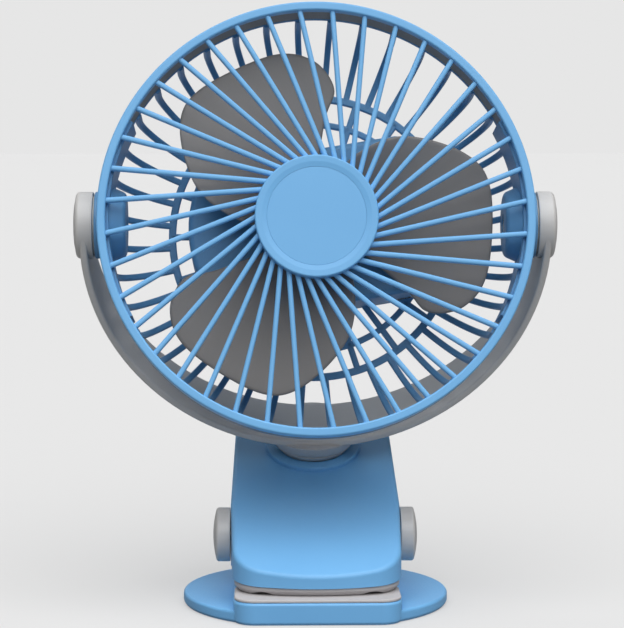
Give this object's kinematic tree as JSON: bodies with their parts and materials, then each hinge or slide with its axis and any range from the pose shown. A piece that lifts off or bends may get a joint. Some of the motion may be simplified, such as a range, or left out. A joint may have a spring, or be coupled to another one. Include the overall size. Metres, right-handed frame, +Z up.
{
  "type": "desk clip fan",
  "caption": "Desk fan with a round spoked grille and petal blades, tilting in a U-shaped yoke that swivels on a spring clip with a round foot.",
  "frame": {"origin": "on the table, at the middle of the round mat under the base", "axes": "+Z up, the fan's front towards -Y, +X to the right seen from the front"},
  "size_m": [0.152, 0.088, 0.1897],
  "materials": {
    "blue_abs": "smooth satin moulded plastic, light blue",
    "grey_abs": "smooth satin moulded plastic, light grey",
    "dark_grey_abs": "satin moulded plastic, warm dark grey",
    "pad_rubber": "soft matt light grey rubber",
    "mat_rubber": "matt dark rubber",
    "plated_steel": "nickel plated steel",
    "nylon": "natural nylon",
    "bronze": "oiled sintered bronze",
    "iron_laminations": "varnished iron",
    "black_plastic": "moulded black plastic",
    "cell_wrap": "shrink wrapped metal cell",
    "circuit_laminate": "green glass-fibre laminate",
    "clear_acrylic": "clear light pipe"
  },
  "bodies": {
    "base": {"base_plate": "blue_abs", "anti_slip_mat": "mat_rubber", "lower_jaw_pad": "pad_rubber", "torsion_spring": "plated_steel"},
    "upper_jaw": {"upper_jaw_shell": "blue_abs", "upper_jaw_liner": "blue_abs", "upper_jaw_pad": "pad_rubber", "lever_cover": "blue_abs", "liner_screws": "plated_steel", "lever_cover_screws": "plated_steel", "hinge_pin": "plated_steel", "hinge_sleeve": "nylon", "hinge_cap_left": "grey_abs", "hinge_cap_right": "grey_abs", "swivel_washer": "nylon"},
    "yoke_body": {"yoke": "grey_abs", "wave_washer": "plated_steel", "swivel_plate": "plated_steel", "swivel_screw": "plated_steel", "pivot_cap_left": "grey_abs", "pivot_cap_right": "grey_abs", "friction_washer_left": "nylon", "friction_washer_right": "nylon"},
    "head": {"front_grille": "blue_abs", "hub_disc": "blue_abs", "rim_band": "dark_grey_abs", "rear_grille": "blue_abs", "pivot_bolt_left": "plated_steel", "pivot_bolt_right": "plated_steel", "pivot_nut_left": "plated_steel", "pivot_nut_right": "plated_steel", "pod_cover": "blue_abs", "pod_cover_screws": "plated_steel", "motor_can": "plated_steel", "motor_end_cap": "black_plastic", "motor_bearing_front": "bronze", "motor_bearing_rear": "bronze", "motor_screws": "plated_steel", "battery_cell": "cell_wrap", "circuit_board": "circuit_laminate", "board_screws": "plated_steel", "tact_switch": "black_plastic", "charge_light": "clear_acrylic", "charge_socket": "plated_steel"},
    "rotor": {"fan_blade": "dark_grey_abs", "motor_shaft": "plated_steel", "motor_armature": "iron_laminations", "blade_nut": "plated_steel"},
    "button": {"power_button": "grey_abs", "switch_stem": "black_plastic"}
  },
  "joints": [
    {"name": "clip_open", "type": "hinge", "parent": "base", "child": "upper_jaw", "pos_m": [0, 0.003, 0.0207], "axis": [-1, 0, 0], "range_deg": [0, 30], "stiffness_Nm_per_rad": 0.8, "springref_deg": -34.38, "deforming": ["torsion_spring"]},
    {"name": "yoke_swivel", "type": "hinge", "parent": "upper_jaw", "child": "yoke_body", "pos_m": [0, 0.0323, 0.0445], "axis": [0, -0.3907, 0.9205], "range_deg": [-180, 180]},
    {"name": "head_tilt", "type": "hinge", "parent": "yoke_body", "child": "head", "pos_m": [0, 0.0003, 0.11989], "axis": [-1, 0, 0], "range_deg": [-90, 90]},
    {"name": "blade_spin", "type": "hinge", "parent": "head", "child": "rotor", "pos_m": [0, 0.0003, 0.11989], "axis": [0, -0.9774, 0.2113], "continuous": true},
    {"name": "button_press", "type": "slide", "parent": "head", "child": "button", "axis": [0, -0.9774, 0.2113], "range_m": [0, 0.0006], "stiffness_N_per_m": 1500, "springref_m": -0.0004}
  ]
}
